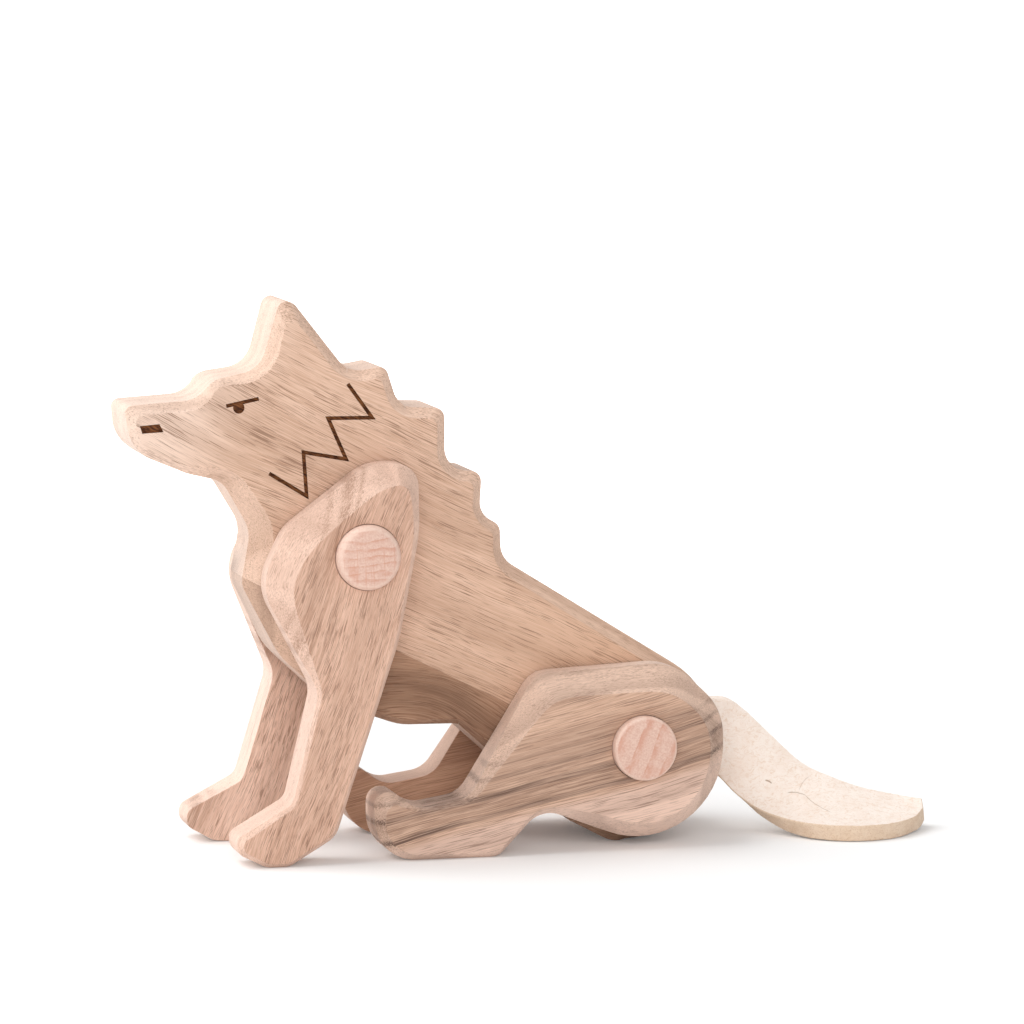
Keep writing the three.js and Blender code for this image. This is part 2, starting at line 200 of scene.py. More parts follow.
def walnut(
    name, slope, light, dark, streak, pith, seed,
    ring=7.0, rings=0.28, bend=12.0, streaks=0.4, pores=0.8, edges=0.12, rims=0.3, dash=1.0,
    swirl=None, stripes=(), tones=(),
):
    """Walnut as a solid texture, in millimetres. The grain lies in the plane of the board and rises by
    slope degrees towards +X. pith is the middle of the growth rings, across the grain and through the
    board. edges and rims are how much paler the bevels and rims are, partly as sanded wood and partly
    as a painted highlight of the light they catch, and dash how much shorter than usual the pores are.
    A swirl lifts the grain round a place. Each stripe is a place across the grain, a half width, a
    strength and a colour. Each tone is a direction, the places along it where the wood begins and ends
    to change, a strength and a colour."""
    shader = Shader(name)
    along, depth, across = shader.grain_axes(shader.place(), math.radians(slope))

    # The grain wanders slowly across the board
    slow = shader.scaled((along, depth, across), (0.018, 0.02, 0.03))
    slow = shader.vectors("ADD", slow, (seed, seed, seed))
    wander = shader.math("SUBTRACT", shader.noise(slow, detail=1.0), 0.5)
    ripple = shader.stretched((along, depth, across), (0.07, 0.05, 0.12), detail=1.0)
    ripple = shader.math("MULTIPLY", shader.math("SUBTRACT", ripple, 0.5), 0.9)
    drift = shader.math("ADD", shader.math("MULTIPLY", wander, bend), ripple)
    across = shader.math("ADD", across, drift)
    if swirl:
        here, size, lift = swirl
        sides = (shader.math("SUBTRACT", along, here[0]), 0.0, shader.math("SUBTRACT", across, here[1]))
        near = shader.distance(shader.scaled(sides, (1 / size[0], 1.0, 1 / size[1])))
        across = shader.math("SUBTRACT", across, shader.ramp(near, 1.0, 0.0, 0.0, lift))
    axes = (along, depth, across)

    # Growth rings
    squared = (
        shader.math("POWER", shader.math("SUBTRACT", across, pith[0]), 2.0),
        shader.math("POWER", shader.math("SUBTRACT", depth, pith[1]), 2.0),
    )
    radius = shader.math("SQRT", shader.math("ADD", *squared))
    year = shader.math("ADD", radius, shader.math("MULTIPLY", shader.noise(slow, scale=4.0), 3.0))
    phase = shader.math("FRACT", shader.math("DIVIDE", year, ring))
    late = shader.math("MULTIPLY", shader.ramp(phase, 0.2, 0.85), shader.ramp(phase, 1.0, 0.85))

    # Broad dark streaks that keep to the rings
    band = shader.vector(shader.math("MULTIPLY", along, 0.010), shader.math("MULTIPLY", radius, 0.27), seed)
    bands = shader.ramp(shader.noise(band, detail=3.0, roughness=0.62), 0.47, 0.70)

    # Long fibres, and two sizes of pore that crowd together
    fine = shader.stretched(axes, (0.09 * dash, 4.6, 4.6), roughness=0.6)
    fibre = shader.stretched(axes, (0.025, 3.2, 3.2), detail=3.0, roughness=0.7)
    crowd = shader.stretched(axes, (0.05, 0.35, 0.35))
    small = shader.stretched(axes, (0.24 * dash, 6.8, 6.8), detail=1.0)
    large = shader.stretched(axes, (0.12 * dash, 5.6, 5.6), detail=1.0)
    edge = shader.math("SUBTRACT", 0.65, shader.ramp(crowd, 0.35, 0.68, 0.0, 0.09))
    shallow = shader.ramp(shader.math("SUBTRACT", small, edge), -0.03, 0.05, 0.0, 0.5)
    deep = shader.ramp(shader.math("SUBTRACT", large, edge), -0.005, 0.04)
    dots = shader.math("MULTIPLY", shader.math("MAXIMUM", shallow, deep), pores)

    # Bevels and rims are paler than the planed faces and show less of their pores and rings: partly
    # sanded wood, partly a painted highlight of the light they catch
    turned = shader.sideways()
    bevels = shader.ramp(turned, 0.98, 0.72, 0.0, edges)
    sanded = shader.math("ADD", bevels, shader.ramp(turned, 0.6, 0.2, 0.0, rims))
    dots = shader.math("MULTIPLY", dots, shader.ramp(turned, 0.7, 0.98, 0.6, 1.0))
    faded = shader.ramp(turned, 0.2, 0.7, 0.3, 1.0)
    late = shader.math("MULTIPLY", late, faded)
    bands = shader.math("MULTIPLY", bands, faded)

    colour = shader.mix(shader.ramp(fine, 0.32, 0.68), light, dark)
    for direction, start, end, strength, tint in tones:
        way = {"along": along, "across": across}[direction]
        ragged = shader.math("ADD", way, shader.math("MULTIPLY", fibre, 1.5))
        colour = shader.mix(shader.ramp(ragged, start, end, 0.0, strength), colour, tint)
    # Paler bevels and rims: sanded wood together with a painted highlight
    colour = shader.mix(sanded, colour, shader.mix(0.55, light, SANDED_AND_LIT_PALE))
    colour = shader.mix(shader.ramp(fibre, 0.50, 0.68, 0.0, 0.24), colour, streak)
    colour = shader.mix(shader.math("MULTIPLY", late, rings), colour, streak)
    colour = shader.mix(shader.math("MULTIPLY", bands, streaks), colour, streak)
    worn = (shader.ramp(fine, 0.35, 0.62, 0.45, 1.0), shader.ramp(crowd, 0.3, 0.6, 0.5, 1.0))
    broken = shader.math("MULTIPLY", *worn)
    for middle, half, strength, tint in stripes:
        ragged = shader.math("MULTIPLY", shader.math("SUBTRACT", fibre, 0.5), 2.4 * half)
        gap = shader.math("SUBTRACT", shader.math("ADD", across, ragged), middle)
        stripe = shader.ramp(shader.math("ABSOLUTE", gap), half, 0.2 * half, 0.0, strength)
        colour = shader.mix(shader.math("MULTIPLY", stripe, broken), colour, tint)
    colour = shader.mix(dots, colour, shader.mix(0.5, streak, PORE_BROWN))
    return shader.surface(colour, roughness=0.6, specular=0.22)


def beech(name, centre, slope, ring, contrast, rays):
    """The turned head of a beech peg, crossed by growth lines that rise by slope degrees and by fine rays."""
    shader = Shader(name)
    local = shader.vectors("SUBTRACT", shader.place(), centre)
    axes = shader.grain_axes(local, math.radians(slope))
    drift = shader.math("MULTIPLY", shader.stretched(axes, (0.16, 0.3, 0.5)), 2.0)
    phase = shader.math("FRACT", shader.math("DIVIDE", shader.math("ADD", axes[2], drift), ring))
    lines = shader.math("MULTIPLY", shader.ramp(phase, 0.35, 0.95), shader.ramp(phase, 1.0, 0.96))
    broken = shader.ramp(shader.stretched(axes, (0.4, 0.4, 0.9)), 0.35, 0.6, 0.3, 1.0)
    lines = shader.math("MULTIPLY", shader.math("MULTIPLY", lines, broken), contrast)
    ray = shader.stretched(axes, (2.0, 0.2, 0.10), detail=1.0)
    rayed = shader.math("MULTIPLY", shader.ramp(ray, 0.55, 0.63), rays)
    fleck = shader.stretched(axes, (3.0, 3.0, 3.0), detail=3.0)

    # The round edge is paler and its lines are fainter: partly worn wood, partly a painted highlight of the
    # light on the round
    rim = shader.ramp(shader.sideways(), 0.995, 0.80)
    plain = shader.math("SUBTRACT", 1.0, shader.math("MULTIPLY", rim, 0.7))
    colour = shader.mix(shader.ramp(fleck, 0.3, 0.7), rgb(226, 194, 178), rgb(214, 174, 157))
    # Painted highlight on the round edge, with its worn paleness
    colour = shader.mix(shader.math("MULTIPLY", rim, 0.45), colour, rgb(240, 215, 199))
    colour = shader.mix(shader.math("MULTIPLY", lines, plain), colour, rgb(204, 146, 124))
    colour = shader.mix(shader.math("MULTIPLY", rayed, plain), colour, rgb(210, 156, 134))
    rough = shader.bump(fleck, 0.03 * MM, 0.4)
    return shader.surface(colour, roughness=0.5, specular=0.28, normal=rough)


def burnt():
    shader = Shader("burnt wood")
    axes = shader.grain_axes(shader.place(), -GLUE_FALL)
    patch = shader.stretched(axes, (0.6, 2.0, 2.6), detail=3.0)
    colour = shader.mix(shader.ramp(patch, 0.35, 0.68), rgb(70, 40, 26), rgb(134, 84, 50))
    charred = shader.bump(patch, 0.1 * MM, 0.5)
    return shader.surface(colour, roughness=0.8, specular=0.15, normal=charred)


# Stray dark hairs on the felt: three points of an arc as seen from above, in mm from where the tail
# bends, and a strength
HAIRS = [
    ((14.6, -7.3), (16.4, -7.5), (18.1, -8.3), 0.7),
    ((18.0, -8.2), (19.3, -10.9), (21.8, -14.3), 0.55),
    ((17.1, -7.2), (18.0, -6.1), (20.0, -4.8), 0.3),
    ((10.6, -4.8), (11.1, -5.0), (11.8, -5.5), 0.8),
]


def circle_through(a, b, c):
    """Centre and radius of the circle through three points."""
    twice = 2 * (a[0] * (b[1] - c[1]) + b[0] * (c[1] - a[1]) + c[0] * (a[1] - b[1]))
    squares = [point[0] ** 2 + point[1] ** 2 for point in (a, b, c)]
    x = (squares[0] * (b[1] - c[1]) + squares[1] * (c[1] - a[1]) + squares[2] * (a[1] - b[1])) / twice
    y = (squares[0] * (c[0] - b[0]) + squares[1] * (a[0] - c[0]) + squares[2] * (b[0] - a[0])) / twice
    return (x, y), math.hypot(a[0] - x, a[1] - y)


def felt(name, pale, mid, fibres, length=1.0, hairs=()):
    """Matted wool, with fibres of a relative length. The hairs are drawn on it from above."""
    shader = Shader(name)
    place = shader.place()
    cloud = shader.noise(place, scale=260.0, detail=4.0, roughness=0.6)
    curls = {"Vector": place, "Scale": 700.0, "Detail": 1.0}
    curl = shader.add("ShaderNodeTexNoise", curls).outputs["Color"]
    sway = {0: curl, 1: (2.2 * MM, 2.2 * MM, 2.2 * MM), 2: place}
    matted = shader.add("ShaderNodeVectorMath", sway, operation="MULTIPLY_ADD").outputs[0]

    def lying(fineness):
        inputs = {"Vector": matted, "Scale": [size / length for size in fineness]}
        return shader.noise(shader.add("ShaderNodeMapping", inputs).outputs[0], detail=3.0, roughness=0.7)

    fibre = lying((560, 1500, 2200))
    crossing = lying((2000, 680, 1900))
    colour = shader.mix(shader.ramp(cloud, 0.38, 0.66, 0.0, 0.6), pale, mid)
    colour = shader.mix(shader.ramp(fibre, 0.48, 0.70, 0.0, 0.7), colour, fibres)
    colour = shader.mix(shader.ramp(crossing, 0.52, 0.74, 0.0, 0.55), colour, fibres)
    x, y, _ = shader.parts(place)
    flat = shader.vector(x, y, 0.0)
    for first, second, third, strength in hairs:
        centre, radius = circle_through(first, second, third)
        middle = ((first[0] + third[0]) / 2, (first[1] + third[1]) / 2)
        span = math.dist(first, third) * MM
        from_centre, from_middle = (
            shader.distance(flat, (TAIL_BEND.x + spot[0] * MM, spot[1] * MM, 0)) for spot in (centre, middle)
        )
        off = shader.math("ABSOLUTE", shader.math("SUBTRACT", from_centre, radius * MM))
        line = shader.ramp(off, 0.13 * MM, 0.04 * MM)
        inside = shader.ramp(from_middle, 0.56 * span, 0.36 * span, 0.0, strength)
        colour = shader.mix(shader.math("MULTIPLY", line, inside), colour, HAIR_BROWN)
    nap = shader.bump(shader.math("MAXIMUM", fibre, crossing), 0.22 * MM, 0.6)
    return shader.surface(colour, roughness=0.95, specular=0.08, normal=nap, sheen=0.1)


# Boards


def show(name, mesh, materials, smooth=32):
    """A piece of the wolf, shaded smooth across edges of up to smooth degrees."""
    piece = bpy.data.objects.new(name, mesh)
    SCENE.collection.objects.link(piece)
    for material in materials:
        mesh.materials.append(material)
    mesh.shade_smooth()
    mesh.set_sharp_from_angle(angle=math.radians(smooth))
    weighted = piece.modifiers.new("weighted normals", "WEIGHTED_NORMAL")
    weighted.keep_sharp = True
    return piece


FLAT_FROM = 0.999  # sideways part of the normal of a board's flat face
RIM_UP_TO = 0.05  # and of its rim
ALONG_GLUE = 0.9995  # part of the normal across the glue line, on a face that lies along it
BEVEL_CREASE = math.radians(75)  # a bevel's creases are less sharp than this
GLUE_NORMAL = Vector((math.sin(GLUE_FALL), 0, math.cos(GLUE_FALL)))


def facing(face):
    """Which part of a board a face belongs to: its flat, its bevel or its rim."""
    sideways = abs(face.normal.y)
    if sideways > FLAT_FROM:
        return "flat"
    return "rim" if sideways < RIM_UP_TO else "bevel"


def beside(edge):
    """The parts of a board on the two sides of an edge."""
    return {facing(face) for face in edge.link_faces}


def glued(face):
    return abs(face.normal.dot(GLUE_NORMAL)) > ALONG_GLUE


def body_crease(edge):
    """Creases along a body board's bevel, and not those of its marks, bores, slot or glue line."""
    if edge.calc_face_angle() > BEVEL_CREASE or any(glued(face) for face in edge.link_faces):
        return False
    return beside(edge) in ({"flat", "bevel"}, {"bevel", "rim"})


def leg_crease(axis):
    """Creases along a leg's bevel and round its inner face, and not those of its bore."""
    def wanted(edge):
        middle = (edge.verts[0].co + edge.verts[1].co) / 2 - axis
        return math.hypot(middle.x, middle.z) > RECESS and len(beside(edge)) == 2
    return wanted


def wanted_creases(skin, wanted):
    return [edge for edge in skin.edges if len(edge.link_faces) == 2 and wanted(edge)]


def creases_between(skin, wanted, parts):
    """The wanted creases between two parts of a board."""
    return [edge for edge in wanted_creases(skin, wanted) if beside(edge) == parts]


def flat_loop(skin, wanted):
    """The vertices round the flat outer face of a leg, in order."""
    neighbours = {}
    for edge in creases_between(skin, wanted, {"flat", "bevel"}):
        for vertex in edge.verts:
            neighbours.setdefault(vertex, []).append(edge.other_vert(vertex))
    start = next(iter(neighbours))
    loop = [start, neighbours[start][0]]
    while loop[-1] is not start:
        loop.append(next(vertex for vertex in neighbours[loop[-1]] if vertex is not loop[-2]))
    return loop[:-1]


def rule_bevel(skin, wanted):
    """Cuts a leg's bevel into short strips between its rim and its flat face, so that it turns evenly."""
    bmesh.ops.join_triangles(
        skin,
        faces=[face for face in skin.faces if facing(face) == "bevel"],
        angle_face_threshold=math.radians(60),
        angle_shape_threshold=math.pi,
    )
    skin.normal_update()
    inner = creases_between(skin, wanted, {"flat", "bevel"})
    outer = creases_between(skin, wanted, {"bevel", "rim"})
    sides = set(inner + outer)
    strips = [face for face in skin.faces if facing(face) == "bevel" and len(face.verts) == 4]
    pairs = [[edge for edge in face.edges if edge in sides] for face in strips]
    for pair in pairs:
        cuts = int(max((edge.calc_length() for edge in pair), default=0) / SAND_STEP)
        if len(pair) == 2 and cuts:
            bmesh.ops.subdivide_edges(skin, edges=pair, cuts=cuts, use_grid_fill=True)
    skin.normal_update()


def split_evenly(loop):
    """Adds vertices along the loop's long edges."""
    for here, there in zip(loop, loop[1:] + loop[:1]):
        edge = next(edge for edge in here.link_edges if edge.other_vert(here) is there)
        for left in range(int(edge.calc_length() / SAND_STEP), 0, -1):
            here = bmesh.utils.edge_split(edge, here, 1 / (left + 1))[1]
            edge = next(edge for edge in here.link_edges if edge.other_vert(here) is there)


def away_from(point, edge):
    """Distance from a point to an edge."""
    start, along = edge.verts[0].co, edge.verts[1].co - edge.verts[0].co
    share = min(max((point - start).dot(along) / along.length_squared, 0), 1)
    return (start + along * share - point).length


def smoothed(points, steps, i):
    """The average of a closed line's points round its point i. Nearer points count for more."""
    total, weights = points[i] * SAND_STEP, SAND_STEP
    for way in (1, -1):
        gone, k = 0.0, i
        while gone < 3 * SANDED:
            step = steps[k if way > 0 else k - 1]
            gone += step
            k = (k + way) % len(points)
            share = math.exp(-0.5 * (gone / SANDED) ** 2) * step
            total += points[k] * share
            weights += share
    return total / weights


def sand_corners(skin, wanted):
    """Softens the outward corners of a leg's flat face, where its bevel is wide."""
    rule_bevel(skin, wanted)
    split_evenly(flat_loop(skin, wanted))
    skin.normal_update()
    loop = flat_loop(skin, wanted)
    rim = creases_between(skin, wanted, {"bevel", "rim"})
    points = [vertex.co.copy() for vertex in loop]
    following = points[1:] + points[:1]
    steps = [(there - here).length for here, there in zip(points, following)]
    turning = sum(here.x * there.z - there.x * here.z for here, there in zip(points, following))
    for i, vertex in enumerate(loop):
        moved = smoothed(points, steps, i) - points[i]
        ahead = following[i] - points[i - 1]
        outward = Vector((ahead.z, 0, -ahead.x)).normalized() * math.copysign(1, turning)
        moved -= outward * max(0, moved.dot(outward))
        width = min(away_from(points[i], edge) for edge in rim)
        vertex.co = points[i] + moved * min(max((width - SANDED_FROM) / SANDED_OVER, 0), 1)
    skin.normal_update()


def eased(node, wanted, glue_shift=0.0, sanded=False):
    """A copy of a CAD node's mesh with the wanted creases rounded and its glued face brought up to its
    neighbour. The corners of a sanded leg's face are softened first."""
    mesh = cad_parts[node].data.copy()
    mesh.materials.clear()
    skin = bmesh.new()
    skin.from_mesh(mesh)
    bmesh.ops.remove_doubles(skin, verts=skin.verts, dist=0.001 * MM)
    if glue_shift:
        for vertex in {vertex for face in skin.faces if glued(face) for vertex in face.verts}:
            vertex.co += GLUE_NORMAL * glue_shift
    bmesh.ops.dissolve_limit(skin, angle_limit=math.radians(0.6), verts=skin.verts, edges=skin.edges)
    skin.normal_update()
    if sanded:
        sand_corners(skin, wanted)
    bmesh.ops.bevel(
        skin,
        geom=wanted_creases(skin, wanted),
        offset=EASED,
        offset_type="OFFSET",
        segments=3,
        profile=0.5,
        affect="EDGES",
        clamp_overlap=False,
    )
    skin.to_mesh(mesh)
    skin.free()
    return mesh


def burn_marks(mesh):
    """Gives the floors and walls of the engraved marks the second material."""
    floor = BODY_HALF - MARK_DEPTH
    near = 0.01 * MM
    for face in mesh.polygons:
        heights = [abs(mesh.vertices[i].co.y) for i in face.vertices]
        wall = abs(face.normal.y) < 0.1 and face.area > 1e-5 * MM**2
        if abs(min(heights) - floor) < near and (wall or max(heights) < floor + near):
            face.material_index = 1


def across_grain(point, slope):
    """Where a point lies across a grain that rises by slope degrees, in mm."""
    return (point.z * math.cos(math.radians(slope)) - point.x * math.sin(math.radians(slope))) / MM


BURNT = burnt()
LIGHT_WALNUT = walnut(
    "light walnut", -27, rgb(230, 195, 172), rgb(208, 170, 145), rgb(160, 122, 96),
    pith=(75, 60), seed=3.1, bend=8.0, streaks=0.25, pores=0.7, edges=0.2, rims=0.5,
    tones=[("along", -86, -108, 0.75, rgb(248, 222, 205)), ("along", -50, 10, 0.7, rgb(215, 175, 146))],
)
DARK_WALNUT = walnut(
    "dark walnut", -14, rgb(184, 146, 120), rgb(156, 118, 93), rgb(98, 68, 50),
    pith=(40, 30), seed=7.7, ring=6.0, bend=8.0, streaks=0.55, pores=0.6, edges=0.1, rims=0.5,
    swirl=((-29, 25), (24, 14), 4.5),
    tones=[("along", -40, -58, 0.6, rgb(226, 190, 166))],
)
FRONT_SLOPE = 69
FRONT_ACROSS = across_grain(LEFT_SHOULDER, FRONT_SLOPE)
UMBER = rgb(146, 106, 82)
FRONT_GRAIN = {
    "pith": (18, 34), "seed": 12.4, "ring": 7.5, "rings": 0.2, "bend": 9.0, "streaks": 0.34,
    "pores": 0.65, "edges": 0.32, "rims": 0.22, "dash": 2.2,
    "stripes": [
        (FRONT_ACROSS + 7.6, 1.5, 0.6, UMBER),
        (FRONT_ACROSS + 5.4, 0.7, 0.4, UMBER),
        (FRONT_ACROSS + 10.4, 0.8, 0.35, UMBER),
    ],
}
PINK_WALNUT = walnut(
    "pink walnut", FRONT_SLOPE, rgb(228, 190, 168), rgb(206, 165, 142), rgb(158, 120, 98), **FRONT_GRAIN,
)
# The far front leg: the same pink walnut painted lighter, as painted light
LIT_PINK_WALNUT = walnut(
    "pink walnut painted lit", FRONT_SLOPE, rgb(240, 207, 188), rgb(222, 184, 163), rgb(172, 134, 112), **FRONT_GRAIN,
)
HIND_SLOPE = 13
HIP_ACROSS = across_grain(HIP, HIND_SLOPE)
SMOKE = rgb(104, 82, 72)
STREAKED_WALNUT = walnut(
    "streaked walnut", HIND_SLOPE, rgb(222, 186, 162), rgb(198, 160, 136), rgb(128, 98, 82),
    pith=(55, 45), seed=21.8, ring=6.0, bend=6.0, streaks=0.28, pores=0.55, edges=0.32,
    stripes=[
        (HIP_ACROSS - 2.2, 3.6, 0.68, rgb(140, 110, 92)),
        (HIP_ACROSS - 4.6, 0.9, 0.95, SMOKE),
        (HIP_ACROSS - 0.6, 0.8, 0.92, SMOKE),
        (HIP_ACROSS + 2.6, 0.7, 0.6, SMOKE),
        (HIP_ACROSS + 5.2, 0.7, 0.35, SMOKE),
    ],
    tones=[("across", HIP_ACROSS - 4.4, HIP_ACROSS - 7.0, 0.85, rgb(238, 205, 187))],
)
# The far hind leg: the streaked walnut as a darker plain brown, painted shade of its shadowed inner face
SHADED_PLAIN_WALNUT = walnut(
    "plain walnut in painted shade", HIND_SLOPE, rgb(206, 164, 138), rgb(188, 146, 119), rgb(150, 110, 88),
    pith=(55, 45), seed=31.4, ring=6.0, bend=5.0, streaks=0.1, pores=0.5, edges=0.3,
)

main_mesh = eased("main_board", body_crease, -GLUE_SHIFT)
burn_marks(main_mesh)
belly_mesh = eased("belly_board", body_crease, GLUE_SHIFT)
BOARDS = {
    "main_board": (main_mesh, [LIGHT_WALNUT, BURNT], "torso", "light_walnut"),
    "belly_board": (belly_mesh, [DARK_WALNUT], "torso", "dark_walnut"),
}
LEGS = {
    "front_left_leg": (LEFT_SHOULDER, PINK_WALNUT, "left_front", "pink_walnut"),
    "front_right_leg": (RIGHT_SHOULDER, LIT_PINK_WALNUT, "right_front", "pink_walnut"),
    "hind_left_leg": (HIP, STREAKED_WALNUT, "left_hind", "streaked_walnut"),
    "hind_right_leg": (HIP, SHADED_PLAIN_WALNUT, "right_hind", "streaked_walnut"),
}
for node, (axis, material, body, slot) in LEGS.items():
    BOARDS[node] = (eased(node, leg_crease(axis), sanded=True), [material], body, slot)
for node, (mesh, materials, body, slot) in BOARDS.items():
    piece = show(node + "_wood", mesh, materials)
    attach(piece, body)
    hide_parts(node)


# Pegs: turned heads with a worn round edge on a plain shank

SHANK_RADIUS = 3 * MM
SHANK_CHAMFER = 0.6 * MM
HEAD_LENGTH = 5 * MM
HEAD_CHAMFER = 0.2 * MM  # under the head
HEAD_INSET = 0.02 * MM  # keeps the head within the CAD peg
CROWN = 0.3 * MM
EDGE_STEPS = 10


def closed_mesh(name, rings):
    """A closed mesh over rings of equally many points, with its ends filled."""
    count = len(rings[0])
    faces = []
    for start in range(0, (len(rings) - 1) * count, count):
        for k in range(count):
            here, next_to = start + k, start + (k + 1) % count
            faces.append((here, here + count, next_to + count, next_to))
    last = (len(rings) - 1) * count
    faces.append(tuple(range(count)))
    faces.append(tuple(range(last + count - 1, last - 1, -1)))
    mesh = bpy.data.meshes.new(name)
    mesh.from_pydata([point for ring in rings for point in ring], [], faces)
    skin = bmesh.new()
    skin.from_mesh(mesh)
    bmesh.ops.recalc_face_normals(skin, faces=skin.faces)
    skin.to_mesh(mesh)
    skin.free()
    return mesh


def peg_profile(node, edge):
    """Radius and height of the shank, the underside of the head, its round edge and its crown."""
    low, high = node_box(node)
    head = head_radius(node) - HEAD_INSET
    top = max(abs(low.y), abs(high.y))
    inner = min(abs(low.y), abs(high.y))
    seat = top - HEAD_LENGTH
    rows = [
        (SHANK_RADIUS - SHANK_CHAMFER, inner),
        (SHANK_RADIUS, inner + SHANK_CHAMFER),
        (SHANK_RADIUS, seat),
        (head - HEAD_CHAMFER, seat),
        (head, seat + HEAD_CHAMFER),
    ]
    for k in range(EDGE_STEPS + 1):
        angle = math.pi / 2 * k / EDGE_STEPS
        rows.append((head - edge * (1 - math.cos(angle)), top - CROWN - edge * (1 - math.sin(angle))))
    flat = head - edge
    return rows + [(flat * part, top - CROWN * part**2) for part in (0.85, 0.7, 0.5, 0.3, 0.1)]


def peg_mesh(node, axis, side, edge, turns=72):
    angles = [2 * math.pi * k / turns for k in range(turns)]
    circle = [(math.cos(angle), math.sin(angle)) for angle in angles]
    rings = [
        [axis + Vector((radius * x, side * height, radius * z)) for x, z in circle]
        for radius, height in peg_profile(node, edge)
    ]
    return closed_mesh(node, rings)


FRONT_PEG = {"slope": 2, "ring": 1.55, "contrast": 0.7, "rays": 0.5}
HIND_PEG = {"slope": 66, "ring": 3.4, "contrast": 0.75, "rays": 0.25}
FRONT_EDGE = 2.0 * MM
HIND_EDGE = 0.9 * MM
PEGS = {
    "front_left_peg": (LEFT_SHOULDER, -1, FRONT_EDGE, FRONT_PEG),
    "front_right_peg": (RIGHT_SHOULDER, 1, FRONT_EDGE, FRONT_PEG),
    "hind_left_peg": (HIP, -1, HIND_EDGE, HIND_PEG),
    "hind_right_peg": (HIP, 1, HIND_EDGE, HIND_PEG),
}
for node, (axis, side, edge, look) in PEGS.items():
    peg = show(node + "_turned", peg_mesh(node, axis, side, edge), [beech(node + " beech", axis, **look)])
    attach(peg, "torso")
    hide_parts(node)


# Felt tail: one strip, from the bottom of its slot to its tip. Rows run from where it bends

FELT_HALF = 1.6 * MM  # half its thickness
FELT_EDGE = 0.3 * MM  # rounding of its edges
BEND_GAP = 0.7 * MM  # from the end of the root to where the tail bends
FUZZ, FUZZ_FINENESS = 0.09 * MM, 1100
WAVE, WAVE_FINENESS = 0.12 * MM, 150
TIP_INSET = 0.10  # how much the rounded tip is smaller than the last cut across the strip
TIP_LENGTH = 0.2 * MM
HOLLOW = 1.2  # how far the middle of the width sags, in mm
ROOT_LOW, ROOT_HIGH = node_box("felt_tail_root")
TAIL_BEND = Vector((ROOT_HIGH.x + BEND_GAP, 0, (ROOT_LOW.z + ROOT_HIGH.z) / 2))
LOW_MM, HIGH_MM = ROOT_LOW.z / MM, ROOT_HIGH.z / MM
UPPER_EDGE = [
    (-8.4, 0, HIGH_MM), (-4, 0, HIGH_MM), (0.5, 0, HIGH_MM), (3.8, 0, 26.7),
    (7.1, 0, 24.6), (12.4, -0.2, 19.2), (18.5, -1.5, 12.9), (25, -3.4, 9.2),
    (31.2, -4.6, 6.8), (37.8, -5.6, 5.2), (41.2, -7, 4.7), (43.2, -8, 4.45),
]
LOWER_EDGE = [
    (-8.4, 0, LOW_MM), (-4, 0, LOW_MM), (0.5, 0, LOW_MM), (2.6, -0.2, 10.2),
    (5.5, -2.4, 7), (8.9, -6.8, 3.9), (12.8, -13, 2.2), (17.6, -19.2, 1.75),
    (25.2, -22.5, 1.7), (33.2, -20.8, 1.75), (39.2, -15.9, 1.95), (42.4, -11.6, 2.9),
]
FREE_FROM = 2 / (len(UPPER_EDGE) - 1)  # share of the rows that lie in the slot


def curve_point(rows, share):
    """A point on the smooth curve through the given points, share of the way along them."""
    place = share * (len(rows) - 1)
    i = min(int(place), len(rows) - 2)
    t = place - i
    a, b, c, d = (Vector(rows[min(max(k, 0), len(rows) - 1)]) for k in (i - 1, i, i + 1, i + 2))
    square = 2 * a - 5 * b + 4 * c - d
    cubic = 3 * b - a - 3 * c + d
    return (2 * b + (c - a) * t + square * t**2 + cubic * t**3) / 2


def felt_chord(share, part):
    """A point on the straight line across the strip, part of the way from its lower to its upper edge."""
    low = curve_point(LOWER_EDGE, share)
    return low + (curve_point(UPPER_EDGE, share) - low) * part


def felt_middle(share, part):
    """A point half way through the felt. The free length is flat at its two ends and hollow between them."""
    along = felt_chord(min(share + 0.002, 1), part) - felt_chord(max(share - 0.002, 0), part)
    plain = along.cross(felt_chord(share, 1) - felt_chord(share, 0)).normalized()
    free = max(share - FREE_FROM, 0) / (1 - FREE_FROM)
    sag = 4 * HOLLOW * math.sin(math.pi * free) * part * (part - 1)
    return (felt_chord(share, part) + plain * sag) * MM + Vector((TAIL_BEND.x, 0, 0))


def felt_section(width, spans):
    """A cut across the strip as a rounded oblong: places along its width and through its thickness."""
    corner = [math.pi / 2 * k / 4 for k in range(1, 5)]
    bend = [(width - FELT_EDGE * (1 - math.sin(angle)), FELT_EDGE * math.cos(angle)) for angle in corner]
    flank = FELT_HALF - FELT_EDGE
    rows = [(FELT_EDGE + (width - 2 * FELT_EDGE) * k / spans, FELT_HALF) for k in range(spans + 1)]
    rows += [(place, flank + rise) for place, rise in bend]
    rows += [(width, flank * part) for part in (0.5, 0.0, -0.5)]
    rows += [(place, -flank - rise) for place, rise in reversed(bend)]
    return rows + [(width - place, -height) for place, height in rows]


